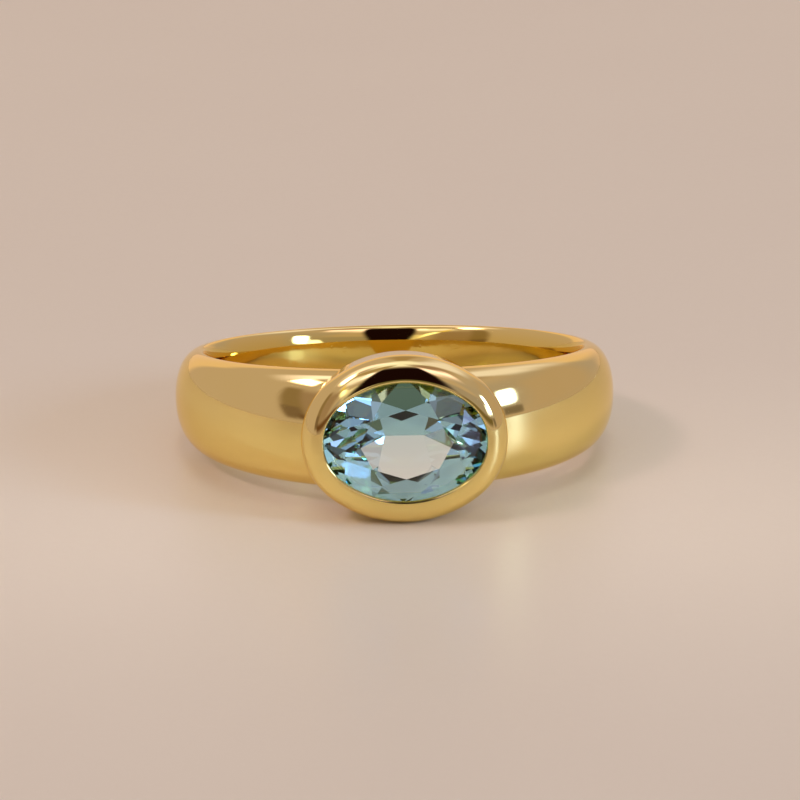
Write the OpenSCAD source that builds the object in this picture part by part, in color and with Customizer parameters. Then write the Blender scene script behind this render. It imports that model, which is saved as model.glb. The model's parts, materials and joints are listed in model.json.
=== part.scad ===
/* [Finger hole] */
// Diameter of the finger hole
finger_hole_d = 17.9; // [14:0.1:22]

/* [Band] */
// Width of the band under the bezel
band_width_front = 5.65; // [4.4:0.05:7]
// Width of the band at the back
band_width_back = 3.15; // [2.2:0.05:4.4]
// Thickness of the band under the bezel
band_thickness_front = 2.0; // [1.6:0.05:3]
// Thickness of the band at the back
band_thickness_back = 1.3; // [1:0.05:2.2]
// Fullness of the band's dome, where 2 is an ellipse and more is squarer
dome_fullness = 2.15; // [1.8:0.05:3]
// How far the band's edges stand out from the finger hole
edge_ease = 0.4; // [0.2:0.05:0.7]
// Share of the band's half width that the rounding at the finger hole takes
edge_ease_share = 0.85; // [0.3:0.05:0.95]

/* [Bezel] */
// Length of the bezel, across the finger
bezel_length = 9.6; // [9.2:0.05:11]
// Width of the bezel, along the finger
bezel_width = 7.9; // [7.6:0.05:9.5]
// Height of the bezel's rim over the finger hole
bezel_height = 3.85; // [3.5:0.05:5]
// Radius of the rim's rounding
rim_round = 1.1; // [0.6:0.05:1.3]
// Angle at which the bezel's wall narrows towards the finger
wall_taper = 7; // [0:0.5:10]
// Width of the small bevel inside the lip
lip_bevel = 0.08; // [0.04:0.01:0.15]

/* [Stone] */
// Length of the stone
stone_length = 8; // [7:0.05:8.3]
// Width of the stone
stone_width = 6; // [5:0.05:6.2]
// Number of corners of the table
table_corners = 8; // [6:1:12]
// Size of the table as a share of the stone
table_share = 0.54; // [0.45:0.01:0.65]
// Height of the crown over the girdle
crown_height = 1.05; // [0.6:0.05:1.2]
// Thickness of the girdle
girdle_height = 0.15; // [0.08:0.01:0.25]
// Depth of the pavilion under the girdle
pavilion_depth = 2.5; // [1.8:0.05:2.8]
// How far out the points of the star facets reach, from table to girdle
star_reach = 0.42; // [0.4:0.01:0.6]
// Length of the keel at the bottom of the pavilion
keel_length = 1.8; // [0.4:0.1:2.4]
// How deep the lower half facets reach, as a share of the pavilion's depth
lower_half_reach = 0.57; // [0.35:0.01:0.8]

/* [Seat] */
// Gap between the stone and the metal
stone_clearance = 0.05; // [0.03:0.01:0.1]
// How far the lip reaches over the edge of the stone
lip_overlap = 0.22; // [0.12:0.01:0.4]
// How far the lip's rim stands over the girdle
rim_over_girdle = 0.5; // [0.4:0.05:0.7]
// Width of the ledge that carries the stone
seat_ledge = 0.45; // [0.3:0.05:0.7]
// How much the pocket narrows from the ledge to its floor
pocket_narrowing = 0.6; // [0:0.05:0.9]
// Height of the pocket's floor over the finger hole
floor_height = 0.9; // [0.6:0.05:1.2]
// Width of the floor round the open back
floor_rim = 0.3; // [0.1:0.05:0.5]

/* [Hidden] */
$fn = 96;

// How closely the band's surface is divided
sections_round_band = 96;
steps_over_dome = 14;
steps_at_edge = 6;
// Slack by which a cut or a fill passes the surface that it meets
slack = 0.06;
// How fully a four-arc oval's ends are rounded, against the ellipse of its size
oval_end_share = 1.08;
// Short flats round the open back
back_flats = 48;
// Half the angle between two corners of the table, of which there is a whole number
gem_corners = round(table_corners);
gem_half = 180 / gem_corners;

hole_r = finger_hole_d / 2;
edge_r = hole_r + edge_ease;
outside_r = hole_r + (band_thickness_front + band_thickness_back) / 2;
outside_shift = (band_thickness_front - band_thickness_back) / 2;
half_width_mean = (band_width_front + band_width_back) / 4;
half_width_swing = (band_width_front - band_width_back) / 4;

// Heights in the bezel, measured from the finger hole's axis
rim_s = hole_r + bezel_height;
wall_top_s = rim_s - rim_round;
girdle_top_s = rim_s - rim_over_girdle;
girdle_low_s = girdle_top_s - girdle_height;
table_s = girdle_top_s + crown_height;
keel_s = girdle_low_s - pavilion_depth;
wall_run = wall_top_s - hole_r;
wall_foot_inset = wall_run * tan(wall_taper);

// The ring lies on the lowest line of its bezel and on its lower edge at the back
back_half_width = half_width_mean - half_width_swing;
tilt_on_wall_top = atan2(bezel_width / 2 - back_half_width, wall_top_s + edge_r);
tilt_on_wall_foot = atan2(bezel_width / 2 - wall_foot_inset - back_half_width, hole_r + edge_r);
rest_tilt = max(tilt_on_wall_top, tilt_on_wall_foot);

// Reach of a superellipse along a direction at an angle to its first half axis
function reach(a, b, angle, fullness) =
    let (k = fullness / (fullness - 1))
    pow(pow(a * cos(angle), k) + pow(b * sin(angle), k), 1 / k);

back_rise = band_thickness_back - edge_ease;
rest_lift = edge_r * sin(rest_tilt) + reach(back_half_width, back_rise, rest_tilt, dome_fullness);
back_reach = edge_r * cos(rest_tilt) + reach(back_rise, back_half_width, rest_tilt, dome_fullness);
rim_reach = wall_top_s * cos(rest_tilt) + (bezel_width / 2 - rim_round) * sin(rest_tilt) + rim_round;
table_reach = table_s * cos(rest_tilt) + table_share * stone_width / 2 * sin(rest_tilt);
rest_shift = (max(rim_reach, table_reach) - back_reach) / 2;

// Half the band's width at an angle from the bezel, with flat edges that taper to the back
function half_width(angle) = half_width_mean + half_width_swing * cos(angle);

// Height of the band's dome over its edges, from an outside set off towards the bezel
function dome_rise(angle) =
    outside_shift * cos(angle)
    + sqrt(pow(outside_r, 2) - pow(outside_shift * sin(angle), 2)) - edge_r;

// One point over the dome, where across runs from -1 at the lower edge to 1 at the upper
function dome_point(angle, across) =
    [edge_r + dome_rise(angle) * pow(max(0, 1 - pow(abs(across), dome_fullness)), 1 / dome_fullness),
     half_width(angle) * across];

// One point of the rounding from an edge into the finger hole, on the side given by 1 or -1
function ease_point(angle, turn, side) =
    [edge_r - (edge_ease + slack) * sin(turn),
     side * half_width(angle) * (1 - edge_ease_share * (1 - cos(turn)))];

// The band's section at an angle from the bezel, as [distance from the axis, height]
function band_section(angle) = concat(
    [for (i = [0 : steps_over_dome]) dome_point(angle, -cos(180 * i / steps_over_dome))],
    [for (i = [1 : steps_at_edge]) ease_point(angle, 90 * i / steps_at_edge, 1)],
    [for (i = [steps_at_edge : -1 : 1]) ease_point(angle, 90 * i / steps_at_edge, -1)]);

// A closed ring lofted through one section for each angle
module section_ring(sections, angles) {
    n = len(sections);
    k = len(sections[0]);
    polyhedron(
        points = [for (i = [0 : n - 1]) for (p = sections[i])
            [p[0] * sin(angles[i]), -p[0] * cos(angles[i]), p[1]]],
        faces = [for (i = [0 : n - 1]) for (j = [0 : k - 1])
            let (i2 = (i + 1) % n, j2 = (j + 1) % k,
                 a = i * k + j, b = i * k + j2, c = i2 * k + j2, d = i2 * k + j)
            each [[a, b, c], [a, c, d]]]);
}

// The domed band before the finger hole is bored
module band_blank() {
    angles = [for (i = [0 : sections_round_band - 1]) 360 * i / sections_round_band];
    section_ring([for (angle = angles) band_section(angle)], angles);
}

// Sweeps a profile round an oval of four arcs. In the profile x runs outwards from
// the oval and y along its axis, and what lies past an arc's own axis is dropped.
module oval_sweep(half_length, half_width, half_height) {
    end_r = oval_end_share * half_width * half_width / half_length;
    end_x = half_length - end_r;
    side_y = (end_x * end_x - pow(half_width - end_r, 2)) / (2 * (half_width - end_r));
    side_r = half_width + side_y;
    split = atan2(side_y, end_x);
    for (side = [0, 180]) {
        rotate([0, 0, side]) translate([end_x, 0, 0]) rotate([0, 0, -split])
            arc_sweep(end_r, 2 * split, half_height) children();
        rotate([0, 0, side]) translate([0, -side_y, 0]) rotate([0, 0, split])
            arc_sweep(side_r, 180 - 2 * split, half_height) children();
    }
}

// Sweeps a profile through an angle at a radius, cut off at the axis
module arc_sweep(radius, angle, half_height) {
    rotate_extrude(angle = angle) intersection() {
        translate([radius, 0]) children();
        translate([0, -half_height]) square([2 * radius, 2 * half_height]);
    }
}

// Section of the bezel's wall and rounded rim, solid inwards as far as the oval is wide
module bezel_profile() {
    depth = bezel_width;
    polygon([[-depth, 0], [-wall_foot_inset - hole_r * tan(wall_taper), 0], [0, wall_top_s],
             [-rim_round, rim_s], [-depth, rim_s]]);
    translate([-rim_round, wall_top_s]) circle(r = rim_round);
}

// Section of the hollow for the stone: floor, ledge, girdle, lip and its bevel
module seat_profile() {
    depth = bezel_width;
    lip_inset = lip_overlap + stone_clearance;
    lip_foot_s = girdle_top_s + lip_inset + stone_clearance;
    ledge_s = girdle_low_s - seat_ledge - stone_clearance;
    bevel_s = rim_s - lip_bevel;
    floor_s = hole_r + floor_height;
    polygon([[-depth, floor_s], [-seat_ledge - pocket_narrowing, floor_s], [-seat_ledge, ledge_s],
             [0, girdle_low_s - stone_clearance], [0, girdle_top_s + stone_clearance],
             [-lip_inset, lip_foot_s], [-lip_inset, bevel_s],
             [-lip_inset + 2 * lip_bevel, rim_s + lip_bevel], [-depth, rim_s + lip_bevel]]);
}

// Oval hole from the finger hole into the pocket, with its floor's rim left round it
module open_back() {
    inset = seat_ledge + pocket_narrowing + floor_rim - stone_clearance;
    linear_extrude(hole_r + floor_height + slack) polygon([for (i = [1 : back_flats])
        let (angle = 360 * i / back_flats)
        [(stone_length / 2 - inset) * cos(angle), (stone_width / 2 - inset) * sin(angle)]]);
}

// Turns the bezel's own frame, with its height up, to the front of the ring
module at_front() {
    rotate([90, 0, 0]) children();
}

// Lays the ring down as it rests, over the middle of its own footprint
module at_rest() {
    translate([0, rest_shift, rest_lift]) rotate([-rest_tilt, 0, 0]) children();
}

module band_with_bezel() {
    color("goldenrod") at_rest() difference() {
        union() {
            band_blank();
            at_front() oval_sweep(bezel_length / 2, bezel_width / 2, 2 * rim_s) bezel_profile();
        }
        cylinder(r = hole_r, h = 2 * bezel_width, center = true);
        at_front() oval_sweep(stone_length / 2 + stone_clearance, stone_width / 2 + stone_clearance,
            2 * rim_s) seat_profile();
        at_front() open_back();
    }
}

// A ring of points of the stone at a share of its outline, turned by a start angle
function gem_ring(share, height, start, count) =
    [for (i = [0 : count - 1]) let (angle = start + 360 * i / count)
        [share * stone_length / 2 * cos(angle), share * stone_width / 2 * sin(angle), height]];

// Which end of the keel a main facet meets: 1 or -1, or 0 for a facet along the whole keel
function keel_end(angle) = sign(cos(angle));

// The plane of a main facet, through its corner of the girdle and its end of the keel. It holds
// the points whose way right, up and down from the girdle's middle, times these three, adds to 1
function main_plane(angle) =
    let (across = [cos(angle) / (stone_length / 2), sin(angle) / (stone_width / 2)])
    [across[0], across[1], (1 - across[0] * keel_end(angle) * keel_length / 2) / pavilion_depth];

// The point at a depth under the girdle where two main facets meet
function mains_meet(a, b, depth) =
    let (scale = a[0] * b[1] - a[1] * b[0], left_a = 1 - a[2] * depth, left_b = 1 - b[2] * depth)
    [(left_a * b[1] - left_b * a[1]) / scale, (left_b * a[0] - left_a * b[0]) / scale,
     girdle_low_s - depth];

// Oval brilliant with a keel: table, stars, kites and upper halves over an open girdle,
// and under it the main facets down to the keel, with their lower halves
module stone() {
    n = gem_corners;
    star_share = (1 - star_reach) * table_share * cos(gem_half) + star_reach;
    star_s = crown_height * (1 - star_share * cos(gem_half)) / (1 - table_share);
    points = concat(
        gem_ring(table_share, table_s, 0, n),
        gem_ring(star_share, girdle_top_s + star_s, gem_half, n),
        gem_ring(1, girdle_top_s, 0, 2 * n),
        gem_ring(1, girdle_low_s, 0, 2 * n),
        [for (i = [0 : n - 1]) mains_meet(main_plane(2 * gem_half * i),
            main_plane(2 * gem_half * (i + 1)), lower_half_reach * pavilion_depth)],
        [[-keel_length / 2, 0, keel_s], [keel_length / 2, 0, keel_s]]);
    star = n;
    upper = 2 * n;
    lower = 4 * n;
    half = 6 * n;
    function keel_point(side) = 7 * n + (side > 0 ? 1 : 0);
    table = [for (i = [n - 1 : -1 : 0]) i];
    crown = [for (i = [0 : n - 1])
        let (next = (i + 1) % n, before = (i + n - 1) % n,
             g = upper + 2 * i, mid = g + 1, after = upper + 2 * next)
        each [[i, next, star + i],
              [i, star + i, g, star + before],
              [star + i, mid, g],
              [star + i, after, mid]]];
    girdle = [for (i = [0 : 2 * n - 1]) let (next = (i + 1) % (2 * n))
        [upper + i, upper + next, lower + next, lower + i]];
    pavilion = [for (i = [0 : n - 1])
        let (next = (i + 1) % n, before = (i + n - 1) % n,
             g = lower + 2 * i, mid = g + 1, after = lower + 2 * next,
             end = keel_end(2 * gem_half * i), end_after = keel_end(2 * gem_half * (i + 1)),
             side = keel_end(2 * gem_half * i + gem_half),
             tips = end == 0 ? [keel_point(side), keel_point(-side)] : [keel_point(end)])
        each concat(
            [concat([g, half + i], tips, [half + before]),
             [g, mid, half + i],
             [mid, after, half + i]],
            end * end_after < 0 ? [[keel_point(end), half + i, keel_point(end_after)]] : [])];
    color("lightskyblue") at_rest() at_front()
        polyhedron(points = points, faces = concat([table], crown, girdle, pavilion));
}

band_with_bezel();
stone();
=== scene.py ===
import json
import math

import bmesh
import bpy
import numpy as np
from mathutils import Matrix, Vector


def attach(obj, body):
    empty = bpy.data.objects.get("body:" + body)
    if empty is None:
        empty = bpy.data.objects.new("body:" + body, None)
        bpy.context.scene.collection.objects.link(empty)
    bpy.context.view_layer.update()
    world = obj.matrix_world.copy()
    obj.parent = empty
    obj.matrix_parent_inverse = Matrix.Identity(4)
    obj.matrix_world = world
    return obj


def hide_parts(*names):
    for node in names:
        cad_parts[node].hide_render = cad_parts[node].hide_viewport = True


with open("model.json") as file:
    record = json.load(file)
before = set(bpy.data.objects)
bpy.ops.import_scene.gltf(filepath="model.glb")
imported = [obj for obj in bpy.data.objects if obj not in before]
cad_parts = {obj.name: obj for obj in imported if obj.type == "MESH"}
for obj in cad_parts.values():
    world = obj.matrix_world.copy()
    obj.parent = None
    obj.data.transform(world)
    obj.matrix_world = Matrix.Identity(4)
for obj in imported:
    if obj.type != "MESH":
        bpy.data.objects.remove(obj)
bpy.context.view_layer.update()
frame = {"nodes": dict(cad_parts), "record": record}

# Sizes of the ring in millimetres, in its own frame: the finger hole's axis is Z, the bezel is towards -Y
MM = 0.001
finger_hole = next(m for m in frame["record"]["mounts"] if m["name"] == "finger_hole")
hole_r = finger_hole["dims"]["r_mm"]

band_width_front, band_width_back = 5.65, 3.15
band_thickness_front, band_thickness_back = 2.0, 1.3
dome_fullness = 2.15
edge_ease, edge_ease_share = 0.4, 0.85

bezel_length, bezel_width, bezel_height = 9.6, 7.9, 3.85
rim_round = 1.1
wall_taper = math.radians(7)
lip_round = 0.12
oval_end_share = 1.08

stone_length, stone_width = 8.0, 6.0
girdle_height = 0.15
stone_clearance = 0.05
lip_overlap = 0.22
rim_over_girdle = 0.5
seat_ledge = 0.45
pocket_narrowing = 0.6
floor_height = 0.9
floor_rim = 0.3

# Heights in the bezel, from the finger hole's axis
rim_s = hole_r + bezel_height
wall_top_s = rim_s - rim_round
girdle_top_s = rim_s - rim_over_girdle
girdle_low_s = girdle_top_s - girdle_height
floor_s = hole_r + floor_height

# Band sizes that follow from these
edge_r = hole_r + edge_ease
outside_r = hole_r + (band_thickness_front + band_thickness_back) / 2
outside_shift = (band_thickness_front - band_thickness_back) / 2
half_width_mean = (band_width_front + band_width_back) / 4
half_width_swing = (band_width_front - band_width_back) / 4

# How far a blank or a cutter runs past the surface that it meets, how far the wall runs into the band, the
# turn of the lip where the pocket opens, and the angle from which an edge stays crisp
slack = 0.06
wall_into_band = 1.2
lip_open_turn = math.pi * 0.56
crisp_angle = math.radians(20)

# The ring as it lies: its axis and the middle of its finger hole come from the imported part
ring_lean = math.atan2(finger_hole["axis"][1], finger_hole["axis"][2])
ring_centre = Vector(finger_hole["pos_m"])
ring_as_it_lies = (
    Matrix.Translation(ring_centre) @ Matrix.Rotation(-ring_lean, 4, "X") @ Matrix.Diagonal((MM, MM, MM, 1))
)

# Surfaces of the metal, kept as face material indices while the pieces are joined
BAND, BEZEL, BORE, POCKET = range(4)


# The band

def half_width(angle):
    return half_width_mean + half_width_swing * np.cos(angle)


def dome_rise(angle):
    """Height of the dome over the band's edges: the outside is a circle set off towards the bezel."""
    reach = np.sqrt(outside_r**2 - (outside_shift * np.sin(angle)) ** 2)
    return outside_shift * np.cos(angle) + reach - edge_r


def band_section(angle, steps_over_dome=72, steps_at_edge=12):
    """Section of the band at an angle from the bezel, as rows of distance from the axis and height."""
    turn = np.linspace(0, np.pi, steps_over_dome + 1)
    across = -np.cos(turn)
    dome = np.column_stack([
        edge_r + dome_rise(angle) * np.clip(1 - np.abs(across) ** dome_fullness, 0, 1) ** (1 / dome_fullness),
        half_width(angle) * across,
    ])
    turn = np.linspace(0, np.pi / 2, steps_at_edge + 1)[1:]
    ease_r = edge_r - (edge_ease + slack) * np.sin(turn)
    ease_z = half_width(angle) * (1 - edge_ease_share * (1 - np.cos(turn)))
    upper = np.column_stack([ease_r, ease_z])
    lower = np.column_stack([ease_r, -ease_z])[::-1]
    return np.vstack([dome, upper, lower])


def band_blank(sections=360):
    """The domed band before the finger hole is bored."""
    rings = []
    for angle in np.linspace(0, 2 * np.pi, sections, endpoint=False):
        r, z = band_section(angle).T
        rings.append(np.column_stack([r * np.sin(angle), -r * np.cos(angle), z]))
    return loft("band_blank", rings, BAND, closed=True)


def band_normals(points):
    """Outward directions on the band's dome, flanks and eased edges, from the formula of its section."""
    x, y, z = points.T
    angle = np.arctan2(x, -y)
    r = np.hypot(x, y)
    step = 1e-4
    rise, width = dome_rise(angle), half_width(angle)
    rise_slope = (dome_rise(angle + step) - dome_rise(angle - step)) / (2 * step)
    width_slope = (half_width(angle + step) - half_width(angle - step)) / (2 * step)
    up = np.clip((r - edge_r) / rise, 1e-6, None)
    out = np.abs(z) / width
    m = dome_fullness
    along_r = m * up ** (m - 1) / rise
    along_z = m * out ** (m - 1) / width
    along_angle = -(m * up**m * rise_slope / rise + m * out**m * width_slope / width) / r
    eased = r < edge_r
    ease_width = edge_ease_share * width
    in_ease = np.abs(z) - (width - ease_width)
    along_r = np.where(eased, 2 * (r - edge_r) / (edge_ease + slack) ** 2, along_r)
    along_z = np.where(eased, 2 * in_ease / ease_width**2, along_z)
    eased_angle = -2 * in_ease * np.abs(z) * width_slope / (ease_width**2 * width * r)
    along_angle = np.where(eased, eased_angle, along_angle)
    along_z = along_z * np.sign(z)
    ca, sa = np.cos(angle), np.sin(angle)
    normals = np.column_stack([along_r * sa + along_angle * ca, -along_r * ca + along_angle * sa, along_z])
    return normals / np.linalg.norm(normals, axis=1, keepdims=True)


# The bezel

def oval_arcs(half_length, half_width):
    """End radius, end centre, side radius, side centre and the angle where they meet, of a four-arc oval."""
    end_r = oval_end_share * half_width**2 / half_length
    end_x = half_length - end_r
    side_y = (end_x**2 - (half_width - end_r) ** 2) / (2 * (half_width - end_r))
    return end_r, end_x, half_width + side_y, side_y, math.atan2(side_y, end_x)


def oval_line(half_length, half_width, outset, steps_per_arc=72):
    """Points of a four-arc oval moved outwards, in the plane of the bezel."""
    end_r, end_x, side_r, side_y, split = oval_arcs(half_length, half_width)
    rows = []
    for quarter in range(4):
        flip = 1 if quarter < 2 else -1
        if quarter % 2 == 0:
            turn = np.linspace(-split, split, steps_per_arc, endpoint=False)
            centre, radius = (flip * end_x, 0), end_r + outset
        else:
            turn = np.linspace(split, math.pi - split, steps_per_arc, endpoint=False)
            centre, radius = (0, -flip * side_y), side_r + outset
        rows.append(np.column_stack([
            centre[0] + flip * radius * np.cos(turn),
            centre[1] + flip * radius * np.sin(turn),
        ]))
    return np.vstack(rows)


def at_front(plane_points, height):
    """Points of the bezel's plane at a height over the finger hole's axis, in the ring's frame."""
    return np.column_stack([plane_points[:, 0], np.full(len(plane_points), -height), plane_points[:, 1]])


def bezel_profile(steps_over_rim=40):
    """Wall and rim as rows of outset and height: a tapered wall that runs smoothly into the rim's arc."""
    turn = np.linspace(-wall_taper, math.pi / 2, steps_over_rim + 1)
    rim = np.column_stack([rim_round * (np.cos(turn) - 1), wall_top_s + rim_round * np.sin(turn)])
    foot_s = hole_r - wall_into_band
    foot_u = rim[0, 0] - (rim[0, 1] - foot_s) * math.tan(wall_taper)
    wall = np.linspace((foot_u, foot_s), rim[0], 16, endpoint=False)
    return np.vstack([wall, rim])


def bezel_body():
    """The bezel before its pocket is cut."""
    rings = [at_front(oval_line(bezel_length / 2, bezel_width / 2, u), s) for u, s in bezel_profile()]
    return loft("bezel_body", rings, BEZEL)


def bezel_normals(points):
    """Outward directions on the bezel's wall and rim."""
    x, y = points[:, 0], points[:, 2]
    s = -points[:, 1]
    end_r, end_x, side_r, side_y, split = oval_arcs(bezel_length / 2, bezel_width / 2)
    at_end = np.arctan2(np.abs(y), np.abs(x) - end_x) < split
    from_x = np.where(at_end, x - np.sign(x) * end_x, x)
    from_y = np.where(at_end, y, y + np.sign(y) * side_y)
    reach = np.hypot(from_x, from_y)
    u = reach - np.where(at_end, end_r, side_r)
    over_rim = np.maximum(u + rim_round, 0), s - wall_top_s
    on_wall = over_rim[1] < -rim_round * math.sin(wall_taper)
    outward = np.where(on_wall, math.cos(wall_taper), over_rim[0])
    upward = np.where(on_wall, -math.sin(wall_taper), over_rim[1])
    length = np.hypot(outward, upward)
    outward, upward = outward / length, upward / length
    return np.column_stack([outward * from_x / reach, -upward, outward * from_y / reach])


def bore_normals(points):
    """Directions from the finger hole's wall towards its axis."""
    reach = np.hypot(points[:, 0], points[:, 1])
    return np.column_stack([-points[:, 0] / reach, -points[:, 1] / reach, np.zeros(len(points))])


def pocket_tool():
    """The hollow for the stone: floor, ledge, girdle, and a rounded lip that opens past the rim."""
    lip_inset = lip_overlap + stone_clearance
    ledge_s = girdle_low_s - seat_ledge - stone_clearance
    turn = np.linspace(math.pi, lip_open_turn, 10)
    lip = np.column_stack([
        -lip_inset + lip_round + lip_round * np.cos(turn),
        rim_s - lip_round + lip_round * np.sin(turn),
    ])
    slope = (lip[-1] - lip[-2]) / np.linalg.norm(lip[-1] - lip[-2])
    profile = np.vstack([
        [-seat_ledge - pocket_narrowing, floor_s],
        [-seat_ledge, ledge_s],
        [0, girdle_low_s - stone_clearance],
        [0, girdle_top_s + stone_clearance],
        [-lip_inset, girdle_top_s + lip_inset + stone_clearance],
        lip,
        lip[-1] + 1.5 * rim_round * slope,
    ])
    half_length, half_width = stone_length / 2 + stone_clearance, stone_width / 2 + stone_clearance
    rings = [at_front(oval_line(half_length, half_width, u), s) for u, s in profile]
    return loft("pocket_tool", rings, POCKET)


def open_back_tool(steps=144):
    """The oval hole from the finger hole into the pocket."""
    inset = seat_ledge + pocket_narrowing + floor_rim - stone_clearance
    turn = np.linspace(0, 2 * np.pi, steps, endpoint=False)
    half_length, half_width = stone_length / 2 - inset, stone_width / 2 - inset
    oval = np.column_stack([half_length * np.cos(turn), half_width * np.sin(turn)])
    ends_s = hole_r - 2 * wall_into_band, floor_s + slack
    return loft("open_back_tool", [at_front(oval, s) for s in ends_s], POCKET)


def bore_tool(steps=720):
    """The finger hole."""
    turn = np.linspace(0, 2 * np.pi, steps, endpoint=False)
    circle = np.column_stack([hole_r * np.cos(turn), hole_r * np.sin(turn)])
    rings = [np.column_stack([circle, np.full(steps, z)]) for z in np.linspace(-bezel_width, bezel_width, 41)]
    return loft("bore_tool", rings, BORE)


# Making and joining meshes

def loft(name, rings, surface, closed=False):
    """A closed mesh through rings of points: from last to first again, or with a flat cap at each end."""
    count, size = len(rings), len(rings[0])
    faces = []
    for i in range(count if closed else count - 1):
        a, b = i * size, (i + 1) % count * size
        faces += [(a + j, a + (j + 1) % size, b + (j + 1) % size, b + j) for j in range(size)]
    if not closed:
        faces += [tuple(range(size)), tuple(reversed(range((count - 1) * size, count * size)))]
    mesh = bpy.data.meshes.new(name)
    mesh.from_pydata(np.vstack(rings).tolist(), [], faces)
    work = bmesh.new()
    work.from_mesh(mesh)
    bmesh.ops.recalc_face_normals(work, faces=work.faces)
    work.to_mesh(mesh)
    work.free()
    mesh.polygons.foreach_set("material_index", [surface] * len(mesh.polygons))
    piece = bpy.data.objects.new(name, mesh)
    bpy.context.scene.collection.objects.link(piece)
    return piece


def join_and_cut(body, joined, cutters):
    """One mesh of the body with what is joined to it, less the cutters."""
    for other, operation in [(o, "UNION") for o in joined] + [(o, "DIFFERENCE") for o in cutters]:
        step = body.modifiers.new(other.name, "BOOLEAN")
        step.object, step.operation, step.solver = other, operation, "MANIFOLD"
        step.material_mode = "INDEX"
    bpy.context.view_layer.update()
    mesh = bpy.data.meshes.new_from_object(body.evaluated_get(bpy.context.evaluated_depsgraph_get()))
    for piece in [body] + joined + cutters:
        bpy.data.objects.remove(piece)
    return mesh


def polish(mesh):
    """True smooth normals of each surface, in the ring's frame, with crisp edges where two meet, and the
    share by which each point lies in the finger hole, which masks the gold's painted shade there."""
    mesh.set_sharp_from_angle(angle=crisp_angle)
    corners = np.array([c.vector for c in mesh.corner_normals])
    surface = np.zeros(len(mesh.polygons), int)
    mesh.polygons.foreach_get("material_index", surface)
    loops = np.zeros(len(mesh.polygons), int)
    mesh.polygons.foreach_get("loop_total", loops)
    surface = np.repeat(surface, loops)
    vertex = np.zeros(len(mesh.loops), int)
    mesh.loops.foreach_get("vertex_index", vertex)
    points = np.zeros(len(mesh.vertices) * 3)
    mesh.vertices.foreach_get("co", points)
    points = points.reshape(-1, 3)
    # How deep each point lies in the finger hole, kept as the mask for the painted shade of the gold there.
    depth = np.clip((edge_r - np.hypot(points[:, 0], points[:, 1])) / edge_ease, 0, 1)
    share = mesh.attributes.new("in_finger_hole", "FLOAT", "POINT")
    share.data.foreach_set("value", depth**2)
    points = points[vertex]
    for kind, normals in ((BAND, band_normals), (BEZEL, bezel_normals), (BORE, bore_normals)):
        here = surface == kind
        corners[here] = normals(points[here])
    mesh.polygons.foreach_set("material_index", [0] * len(mesh.polygons))
    mesh.polygons.foreach_set("use_smooth", [True] * len(mesh.polygons))
    return corners


def make_gold_ring():
    mesh = join_and_cut(band_blank(), [bezel_body()], [bore_tool(), pocket_tool(), open_back_tool()])
    normals = polish(mesh)
    mesh.transform(ring_as_it_lies)
    turn = np.array(Matrix.Rotation(-ring_lean, 3, "X"))
    mesh.normals_split_custom_set((normals @ turn.T).tolist())
    ring = bpy.data.objects.new("polished_ring", mesh)
    bpy.context.scene.collection.objects.link(ring)
    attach(ring, "root")
    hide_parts("band_with_bezel")
    return ring


# Nodes

def add_math(tree, operation, first, second=None, third=None):
    """A Math node fed by sockets or plain numbers. Returns its output."""
    node = tree.nodes.new("ShaderNodeMath")
    node.operation = operation
    for socket, value in zip(node.inputs, (first, second, third)):
        if isinstance(value, bpy.types.NodeSocket):
            tree.links.new(value, socket)
        elif value is not None:
            socket.default_value = value
    return node.outputs[0]


def soft_step(tree, value, low, high):
    """A Map Range node that runs smoothly from 0 at low to 1 at high. Returns its output."""
    node = tree.nodes.new("ShaderNodeMapRange")
    node.interpolation_type = "SMOOTHSTEP"
    for socket, given in zip(node.inputs[:3], (value, low, high)):
        if isinstance(given, bpy.types.NodeSocket):
            tree.links.new(given, socket)
        else:
            socket.default_value = given
    return node.outputs[0]


def blend(tree, share, low, high):
    """A value or a colour that runs from low to high by a share from 0 to 1. Returns its output."""
    mix = tree.nodes.new("ShaderNodeMix")
    if isinstance(high, tuple):
        mix.data_type = "RGBA"
    for socket, value in ((mix.inputs["A"], low), (mix.inputs["B"], high)):
        if isinstance(value, bpy.types.NodeSocket):
            tree.links.new(value, socket)
        else:
            socket.default_value = (*value, 1) if isinstance(value, tuple) else value
    tree.links.new(share, mix.inputs["Factor"])
    return mix.outputs["Result"]


def add_noise(tree, position, scale, detail=2, stretch=None):
    """Noise with so many grains a metre, stretched where given. Returns its value."""
    if stretch:
        mapping = tree.nodes.new("ShaderNodeMapping")
        mapping.inputs["Scale"].default_value = stretch
        tree.links.new(position, mapping.inputs["Vector"])
        position = mapping.outputs[0]
    noise = tree.nodes.new("ShaderNodeTexNoise")
    noise.inputs["Detail"].default_value = detail
    tree.links.new(position, noise.inputs["Vector"])
    if isinstance(scale, bpy.types.NodeSocket):
        tree.links.new(scale, noise.inputs["Scale"])
    else:
        noise.inputs["Scale"].default_value = scale
    return noise.outputs["Fac"]


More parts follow.
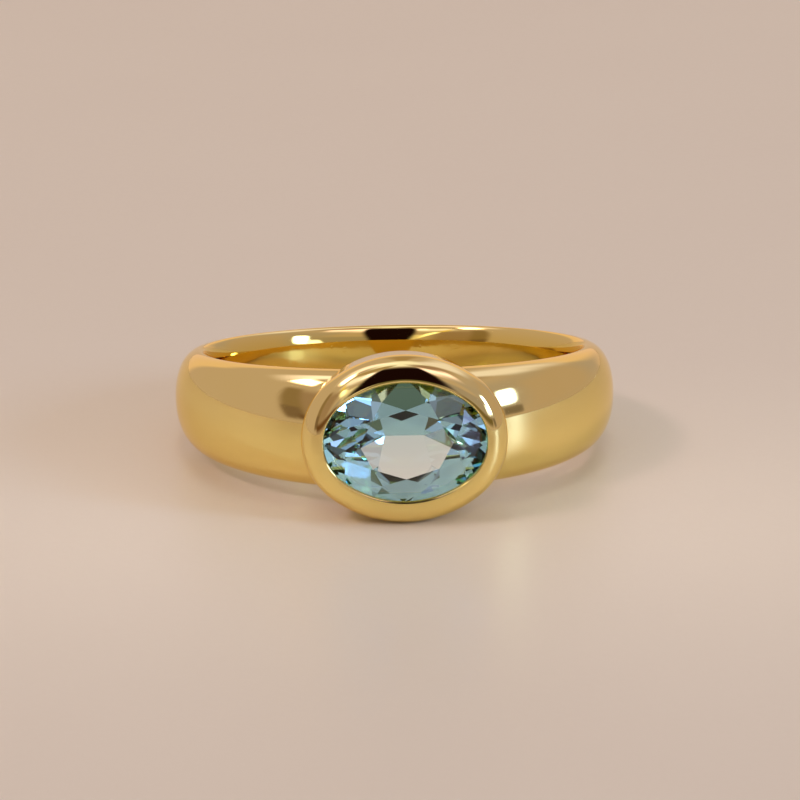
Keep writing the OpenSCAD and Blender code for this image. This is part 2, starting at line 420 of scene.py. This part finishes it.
def fine_wear_group():
    """Wear of a polished surface: soft patches and crossing hairlines. Scales are per metre."""
    group = bpy.data.node_groups.new("fine_wear", "ShaderNodeTree")
    sockets = (("Position", "NodeSocketVector"), ("Patch scale", "NodeSocketFloat"),
               ("Hairline scale", "NodeSocketFloat"), ("Hairlines", "NodeSocketFloat"))
    for name, kind in sockets:
        group.interface.new_socket(name, in_out="INPUT", socket_type=kind)
    for name in ("Patches", "Wear", "Height"):
        group.interface.new_socket(name, in_out="OUTPUT", socket_type="NodeSocketFloat")
    given = group.nodes.new("NodeGroupInput").outputs
    patches = add_noise(group, given["Position"], given["Patch scale"], 3)
    lines = []
    for stretch in ((1, 0.08, 0.9), (0.07, 1, 0.8)):
        grain = add_noise(group, given["Position"], given["Hairline scale"], 1, stretch)
        lines.append(soft_step(group, grain, 0.66, 0.72))
    hairlines = add_math(group, "MULTIPLY", add_math(group, "MAXIMUM", *lines), given["Hairlines"])
    wear = add_math(group, "ADD", hairlines, soft_step(group, patches, 0.35, 0.75))
    wear = add_math(group, "MINIMUM", wear, 1)
    height = add_math(group, "SUBTRACT", patches, add_math(group, "MULTIPLY", hairlines, 0.2))
    result = group.nodes.new("NodeGroupOutput")
    for name, value in (("Patches", patches), ("Wear", wear), ("Height", height)):
        group.links.new(value, result.inputs[name])
    return group


def add_wear(tree, patch_scale, hairline_scale, hairlines):
    """The wear group placed on a material's object. Returns its outputs."""
    node = tree.nodes.new("ShaderNodeGroup")
    node.node_tree = fine_wear
    tree.links.new(tree.nodes.new("ShaderNodeTexCoord").outputs["Object"], node.inputs["Position"])
    node.inputs["Patch scale"].default_value = patch_scale
    node.inputs["Hairline scale"].default_value = hairline_scale
    node.inputs["Hairlines"].default_value = hairlines
    return node.outputs


def add_bump(tree, shader, height, distance, strength):
    bump = tree.nodes.new("ShaderNodeBump")
    bump.inputs["Distance"].default_value = distance
    bump.inputs["Strength"].default_value = strength
    tree.links.new(height, bump.inputs["Height"])
    tree.links.new(bump.outputs["Normal"], shader.inputs["Normal"])


# Materials

def new_material(name):
    material = bpy.data.materials.new(name)
    material.use_nodes = True
    return material, material.node_tree, material.node_tree.nodes["Principled BSDF"]


def yellow_gold():
    """Polished yellow gold with faint waves and hairlines, and painted shade that turns it deeper and more
    saturated in the finger hole.
    """
    material, tree, shader = new_material("yellow_gold")
    wear = add_wear(tree, 420, 2600, 0.3)
    colour = blend(tree, wear["Patches"], (0.95, 0.765, 0.29), (0.935, 0.74, 0.255))
    # Painted shade: the gold in the finger hole is deepened and saturated, standing in for the shade and the
    # gold's own reflections there.
    hole = tree.nodes.new("ShaderNodeAttribute")
    hole.attribute_name = "in_finger_hole"
    colour = blend(tree, hole.outputs["Fac"], colour, (0.90, 0.655, 0.14))
    tree.links.new(colour, shader.inputs["Base Color"])
    tree.links.new(blend(tree, wear["Wear"], 0.025, 0.07), shader.inputs["Roughness"])
    shader.inputs["Metallic"].default_value = 1
    shader.inputs["Specular Tint"].default_value = (1, 0.92, 0.76, 1)
    add_bump(tree, shader, wear["Height"], 0.000012, 0.4)
    return material


def blue_topaz():
    """Clear sky-blue stone. Its facets are crisp, with traces of wear in their polish."""
    material, tree, shader = new_material("blue_topaz")
    wear = add_wear(tree, 900, 5000, 0.5)
    colour = blend(tree, wear["Patches"], (1.0, 1.0, 1.0), (0.97, 0.99, 1.0))
    tree.links.new(colour, shader.inputs["Base Color"])
    tree.links.new(blend(tree, wear["Wear"], 0.0, 0.012), shader.inputs["Roughness"])
    shader.inputs["IOR"].default_value = 1.62
    shader.inputs["Transmission Weight"].default_value = 1
    inside = tree.nodes.new("ShaderNodeVolumeAbsorption")
    inside.inputs["Color"].default_value = (0.10, 0.82, 0.98, 1)
    inside.inputs["Density"].default_value = 108
    tree.links.new(inside.outputs[0], tree.nodes["Material Output"].inputs["Volume"])
    return material


def pale_paper():
    """Smooth warm paper with a fine tooth, a little cloudy."""
    material, tree, shader = new_material("pale_paper")
    wear = add_wear(tree, 55, 2500, 0)
    colour = blend(tree, wear["Patches"], (0.80, 0.72, 0.625), (0.775, 0.69, 0.60))
    tree.links.new(colour, shader.inputs["Base Color"])
    place = tree.nodes.new("ShaderNodeTexCoord").outputs["Object"]
    tooth = add_noise(tree, place, 2400, 4)
    tree.links.new(blend(tree, tooth, 0.3, 0.42), shader.inputs["Roughness"])
    add_bump(tree, shader, tooth, 0.00003, 0.3)
    return material


# Studio

def make_floor(reach=3):
    mesh = bpy.data.meshes.new("floor")
    corners = [(-reach, -reach, 0), (reach, -reach, 0), (reach, reach, 0), (-reach, reach, 0)]
    mesh.from_pydata(corners, [], [(0, 1, 2, 3)])
    floor = bpy.data.objects.new("floor", mesh)
    floor.data.materials.append(pale_paper())
    bpy.context.scene.collection.objects.link(floor)


camera_azimuth = math.radians(-2.355)
camera_elevation = math.radians(17.377)
camera_distance = 0.25693
camera_roll = math.radians(-0.46)
camera_lens_share = 6.6220
aim_right, aim_up = 0.000284, -0.000440


def make_camera():
    data = bpy.data.cameras.new("camera")
    data.sensor_width = 36
    data.lens = data.sensor_width * camera_lens_share
    data.clip_start, data.clip_end = 0.01, 10
    camera = bpy.data.objects.new("camera", data)
    bpy.context.scene.collection.objects.link(camera)
    back = Vector((
        math.sin(camera_azimuth) * math.cos(camera_elevation),
        -math.cos(camera_azimuth) * math.cos(camera_elevation),
        math.sin(camera_elevation),
    ))
    turn = back.to_track_quat("Z", "Y").to_matrix().to_4x4() @ Matrix.Rotation(camera_roll, 4, "Z")
    right, up = turn.col[0].to_3d(), turn.col[1].to_3d()
    camera.matrix_world = turn
    camera.location = ring_centre + back * camera_distance + right * aim_right + up * aim_up
    bpy.context.scene.camera = camera


# The studio round the ring, seen from it: a pale warm tent, its lamps and its dark front slit.
# Azimuth is from the camera's side, clockwise seen from above; all angles are in degrees.
TENT = (0.54, 0.43, 0.455)
PATCHES = (
    # azimuth, elevation, width, height, lean, softness, colour
    (180, 13, 64, 30, 0, 8, (0.84, 0.62, 0.51)),                    # paper that rises at the back
    (180, 56, 18, 40, 0, 9, (0.4, 0.28, 0.2)),                      # upper back of the tent
    (0, 88.5, 400, 28, 0, 13, (1.08, 1.1, 1.43)),                   # lamp overhead
    (-125, 74, 38, 39, -0.5, 20, (1.45, 1.28, 1.86)),               # its left arm
    (130, 55, 44, 47, -0.5, 20, (0.94, 0.89, 1.32)),                # its right arm
    (-41, 54, 30, 20, -0.7, 14, (1.22, 1.15, 1.6)),                 # front left of the top light
    (-27, 54, 10, 12, -0.4, 3, (1.83, 1.56, 2.38)),                 # its bright end
    (41, 56, 48, 18, 0.7, 17, (1.9, 1.55, 2.4)),                    # front right of the top light
    (-45, 70, 40, 23, 1.2, 10, (0.42, 0.31, 0.22)),                 # gap between them, left
    (60, 71, 54, 20, -1.1, 15, (0.36, 0.24, 0.24)),                 # gap between them, right
    (-85, 57, 28, 9, -1, 5, (7.77, 6.24, 7.28)),                    # left lamp
    (-46, 23.5, 39, 35, -0.4, 13, (0.345, 0.242, 0.227)),           # front wall, left
    (43, 18, 117, 19, 0.4, 6, (0.385, 0.335, 0.42)),                # front wall, right
    (97, 25, 90, 48, -0.9, 20, (0.45, 0.385, 0.47)),                # right wall
    (-61, 23.5, 14, 38, -0.5, 7, (0.27, 0.19, 0.135)),              # dark panel at the left
    (-55, 10, 12, 12, -0.6, 3, (0.2, 0.135, 0.11)),                 # its foot
    (-43, 44, 6, 10, -1.4, 4, (0.94, 0.69, 0.21)),                  # thin lamp left of the slit, amber end
    (-23.5, 29.5, 5, 17, -1.15, 2, (2.22, 2.25, 2.1)),              # its middle
    (-10, 18, 8, 24, -0.7, 4, (0.92, 0.82, 0.8)),                   # its foot
    (65.5, 22.5, 10.5, 17, 0.35, 5, (7.77, 10.39, 18.2)),           # right lamp
    (54, 16, 11, 8, 0.55, 4, (2.22, 2.54, 4.06)),                   # its glow
    (107, 19, 58, 42, 0.35, 20, (0.50, 0.39, 0.40)),                # wall behind it
    (-26, 4.5, 42, 6.5, -1.3, 5, (0.13, 0.058, 0.021)),             # dark foot of the tent, left
    (34, 6, 44, 6.5, 0.8, 3, (0.17, 0.13, 0.07)),                   # dark foot of the tent, right
    (65, 6, 12, 7, 0, 2, (0.21, 0.17, 0.17)),                       # its end
    (4.7, 5, 9, 6, 0, 1, (0.16, 0.15, 0.085)),                      # olive strip under the slit
)
SLIT_MIDDLE, SLIT_LEAN, SLIT_TOP, SLIT_TOP_FADE = 3.5, -0.02, 69, 7
SLIT_SPREAD, SLIT_POWER, SLIT_EDGE = 3.3, 0.49, 2.5
SLIT_FOOT, SLIT_FOOT_FADE = 8.25, 1.5
SLIT = (0.010, 0.003, 0.003)


def soft_edge(reach, half_size, softness):
    """1 within half a size from the middle and 0 outside it, with a smooth edge between."""
    share = np.clip((half_size + softness / 2 - np.abs(reach)) / softness, 0, 1)
    return (share * share * (3 - 2 * share))[:, None]


def tent_light(azimuth, elevation):
    """Light that comes from each direction of the studio."""
    light = np.tile(TENT, (len(azimuth), 1))
    for middle, height_middle, width, height, lean, softness, colour in PATCHES:
        up = elevation - height_middle
        across = (azimuth - middle - lean * up + 180) % 360 - 180
        share = soft_edge(across, width / 2, softness) * soft_edge(up, height / 2, softness)
        light += (np.array(colour) - light) * share
    # The slit widens upwards, as if from a point at the floor, and ends at its foot
    across = azimuth - SLIT_MIDDLE - SLIT_LEAN * elevation
    half = SLIT_SPREAD * np.maximum(elevation, 0) ** SLIT_POWER
    share = soft_edge(across, half, SLIT_EDGE * 2) * soft_edge(elevation, SLIT_TOP, SLIT_TOP_FADE * 2)
    share = share * (1 - soft_edge(elevation, SLIT_FOOT, SLIT_FOOT_FADE))
    return light + (np.array(SLIT) - light) * share


def make_tent(radius=2.5, step=1.5):
    """The tent as a dome round the ring, seen only in reflections and through the stone."""
    azimuths = np.arange(-180, 180, step)
    elevations = np.arange(-3, 90 + step / 2, step)
    azimuth, elevation = (grid.ravel() for grid in np.meshgrid(azimuths, elevations))
    turn, rise = np.radians(azimuth) + camera_azimuth, np.radians(elevation)
    level = np.cos(rise)
    points = radius * np.column_stack([np.sin(turn) * level, -np.cos(turn) * level, np.sin(rise)])
    size = len(azimuths)
    faces = [
        (row + j, row + (j + 1) % size, row + size + (j + 1) % size, row + size + j)
        for row in range(0, len(points) - size, size) for j in range(size)
    ]
    mesh = bpy.data.meshes.new("tent")
    mesh.from_pydata(points.tolist(), [], faces)
    light = mesh.attributes.new("light", "FLOAT_COLOR", "POINT")
    colours = np.column_stack([tent_light(azimuth, elevation), np.ones(len(points))])
    light.data.foreach_set("color", colours.ravel())
    material, tree, shader = new_material("lit_tent")
    glow = tree.nodes.new("ShaderNodeEmission")
    given = tree.nodes.new("ShaderNodeAttribute")
    given.attribute_name = "light"
    tree.links.new(given.outputs["Color"], glow.inputs["Color"])
    tree.links.new(glow.outputs[0], tree.nodes["Material Output"].inputs["Surface"])
    material.cycles.emission_sampling = "NONE"
    mesh.materials.append(material)
    tent = bpy.data.objects.new("tent", mesh)
    bpy.context.scene.collection.objects.link(tent)
    tent.visible_camera = tent.visible_diffuse = tent.visible_shadow = False


def studio_place(azimuth, elevation, distance=0.6):
    """A place in the studio by its direction from the ring."""
    turn, rise = math.radians(azimuth) + camera_azimuth, math.radians(elevation)
    level = math.cos(rise)
    return distance * Vector((math.sin(turn) * level, -math.cos(turn) * level, math.sin(rise)))


def add_lamp(name, place, aim, size, power, colour, spread):
    """A soft lamp that lights the paper and isn't mirrored in the gold, where the tent's own lamps are."""
    data = bpy.data.lights.new(name, "AREA")
    data.shape = "RECTANGLE"
    data.size, data.size_y = size
    data.energy, data.color = power, colour
    data.spread = math.radians(spread)
    lamp = bpy.data.objects.new(name, data)
    lamp.location = place
    lamp.rotation_euler = (Vector(place) - Vector(aim)).to_track_quat("Z", "Y").to_euler()
    lamp.visible_glossy = lamp.visible_transmission = False
    bpy.context.scene.collection.objects.link(lamp)


def light_studio():
    world = bpy.data.worlds.new("studio")
    world.use_nodes = True
    world.node_tree.nodes["Background"].inputs["Color"].default_value = (0.525, 0.46, 0.38, 1)
    scene = bpy.context.scene
    scene.world = world
    add_lamp("strip_overhead", (0, -0.012, 0.35), (0, -0.012, 0), (0.9, 0.02), 0.009, (1, 1, 0.95), 11)
    add_lamp("pool_at_ring", (0, -0.3, 0.2), (0, -0.011, 0), (0.04, 0.01), 0.0002, (1, 0.93, 0.78), 3)
    add_lamp("warm_lamp_left", studio_place(-62, 47), (0, 0, 0), (0.16, 0.08), 0.72, (1, 0.73, 0.74), 180)
    add_lamp("cool_lamp_right", studio_place(66, 22), (0, 0, 0), (0.11, 0.18), 1.2, (0.45, 0.67, 1), 180)
    scene.view_settings.view_transform = "Standard"
    scene.cycles.max_bounces = 16
    scene.cycles.transmission_bounces = 16
    scene.cycles.glossy_bounces = 8


fine_wear = fine_wear_group()
make_camera()
make_floor()
make_tent()
light_studio()
ring = make_gold_ring()
ring.data.materials.clear()
ring.data.materials.append(yellow_gold())
stone = frame["nodes"]["stone"]
stone.data.materials.clear()
stone.data.materials.append(blue_topaz())
